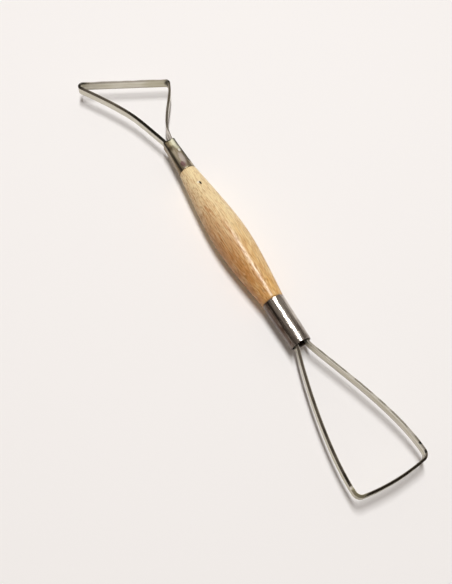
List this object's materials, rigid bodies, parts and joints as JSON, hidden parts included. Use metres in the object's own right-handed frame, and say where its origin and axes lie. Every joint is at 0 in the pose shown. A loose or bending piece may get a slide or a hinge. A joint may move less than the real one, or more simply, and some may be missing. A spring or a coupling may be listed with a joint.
{
  "type": "double-ended loop tool",
  "caption": "Clay trimming tool with a turned wooden handle, a steel ferrule on each end, a slanted triangular strip loop at one end and a long pear-shaped strip loop at the other.",
  "frame": {"origin": "centroid of the whole tool, on the handle's axis", "axes": "+X along the handle toward the large loop, +Y across the tool in the plane of both loops toward the small loop's short leg, +Z square to the loops"},
  "size_m": [0.2585, 0.0462, 0.018],
  "materials": {
    "hardwood": "pale turned hardwood with a thin satin varnish, fine lengthwise flecks",
    "ferrule_steel": "drawn steel, polished bright, with faint lengthwise scuffs",
    "strip_steel": "satin rolled strip with fine lengthwise lines and darker sheared edges"
  },
  "bodies": {
    "root": {"handle": "hardwood", "small_ferrule": "ferrule_steel", "large_ferrule": "ferrule_steel", "small_loop": "strip_steel", "large_loop": "strip_steel"}
  },
  "joints": []
}
